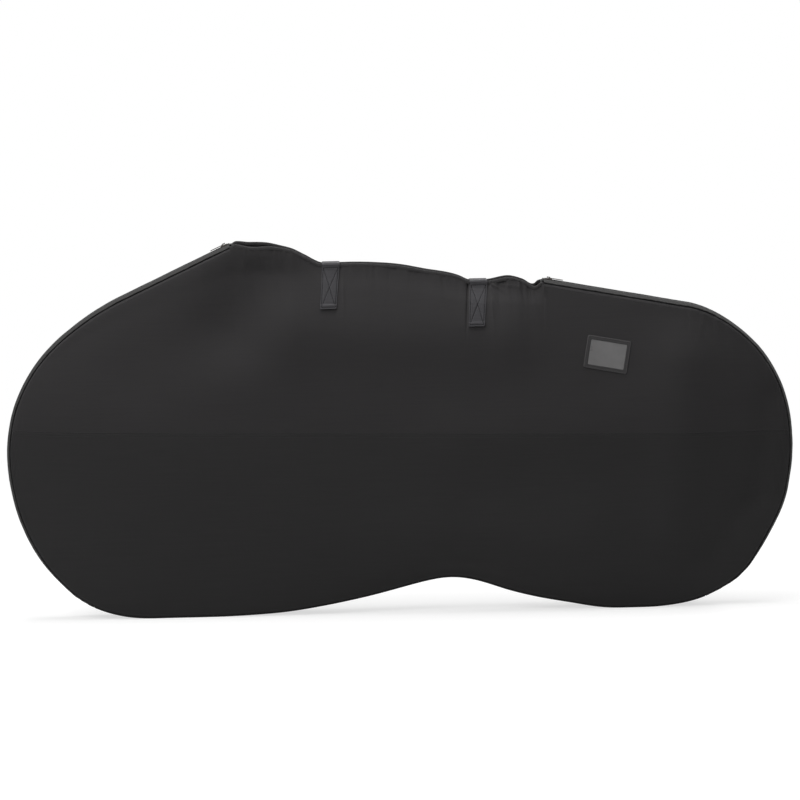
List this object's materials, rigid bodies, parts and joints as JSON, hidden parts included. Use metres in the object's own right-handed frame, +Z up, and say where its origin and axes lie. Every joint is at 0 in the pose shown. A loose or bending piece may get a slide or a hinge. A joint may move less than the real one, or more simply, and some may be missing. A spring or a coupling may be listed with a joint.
{
  "type": "soft bike travel bag",
  "caption": "Soft fabric bag that wraps a whole bicycle, with zips round both ends, an elastic top opening, closing straps and a clear name window.",
  "frame": {"origin": "on the floor under the middle of the bag", "axes": "+X along the bag to its rear end, +Y across it to the far side, +Z up"},
  "size_m": [1.6994, 0.156, 0.8102],
  "materials": {
    "upper_fabric": "fine plain weave with a soft sheen",
    "lower_fabric": "fine plain weave",
    "band_fabric": "fine plain weave, slightly paler",
    "tape": "woven zip tape",
    "teeth": "nylon coil",
    "zip_metal": "dull cast metal",
    "binding": "woven binding tape",
    "hem": "folded and stitched elastic edge",
    "webbing": "ribbed webbing",
    "fastener": "hook and loop tape",
    "clear_film": "clear flexible film"
  },
  "bodies": {
    "bag": {"near_upper_cover": "upper_fabric", "near_lower_cover": "lower_fabric", "far_upper_cover": "upper_fabric", "far_lower_cover": "lower_fabric", "near_seam_binding": "binding", "far_seam_binding": "binding", "near_edge_binding": "binding", "far_edge_binding": "binding", "near_hem": "hem", "far_hem": "hem", "base_band": "lower_fabric", "front_band_near": "band_fabric", "front_band_far": "band_fabric", "rear_band_near": "band_fabric", "rear_band_far": "band_fabric", "front_zip_tape_near": "tape", "front_zip_tape_far": "tape", "rear_zip_tape_near": "tape", "rear_zip_tape_far": "tape", "front_zip_teeth_near": "teeth", "front_zip_teeth_far": "teeth", "rear_zip_teeth_near": "teeth", "rear_zip_teeth_far": "teeth", "front_zip_stop_near": "zip_metal", "front_zip_stop_far": "zip_metal", "rear_zip_stop_near": "zip_metal", "rear_zip_stop_far": "zip_metal", "front_zip_end_box": "zip_metal", "rear_zip_end_box": "zip_metal", "front_strap": "webbing", "front_strap_loop_patch": "fastener", "rear_strap": "webbing", "rear_strap_loop_patch": "fastener", "name_window_frame": "hem", "name_window_film": "clear_film"},
    "front_slider": {"front_zip_slider": "zip_metal"},
    "front_pull": {"front_zip_pull": "zip_metal"},
    "rear_slider": {"rear_zip_slider": "zip_metal"},
    "rear_pull": {"rear_zip_pull": "zip_metal"},
    "front_flap": {"front_strap_flap": "webbing", "front_strap_hook_patch": "fastener"},
    "rear_flap": {"rear_strap_flap": "webbing", "rear_strap_hook_patch": "fastener"}
  },
  "joints": [
    {"name": "front_zip_run", "type": "slide", "parent": "bag", "child": "front_slider", "axis": [-0.9068, 0, -0.4216], "range_m": [0, 0.23]},
    {"name": "front_pull_hinge", "type": "hinge", "parent": "front_slider", "child": "front_pull", "pos_m": [-0.37405, 0, 0.80621], "axis": [0, 1, 0], "range_deg": [0, 150]},
    {"name": "rear_zip_run", "type": "slide", "parent": "bag", "child": "rear_slider", "axis": [0.9833, 0, -0.1822], "range_m": [0, 0.28]},
    {"name": "rear_pull_hinge", "type": "hinge", "parent": "rear_slider", "child": "rear_pull", "pos_m": [0.32397, 0, 0.72074], "axis": [0, -1, 0], "range_deg": [0, 150]},
    {"name": "front_strap_fold", "type": "hinge", "parent": "bag", "child": "front_flap", "pos_m": [-0.14497, -0.0252, 0.76328], "axis": [1, 0, 0], "range_deg": [0, 120]},
    {"name": "rear_strap_fold", "type": "hinge", "parent": "bag", "child": "rear_flap", "pos_m": [0.17174, -0.0252, 0.7204], "axis": [1, 0, 0], "range_deg": [0, 120]}
  ]
}
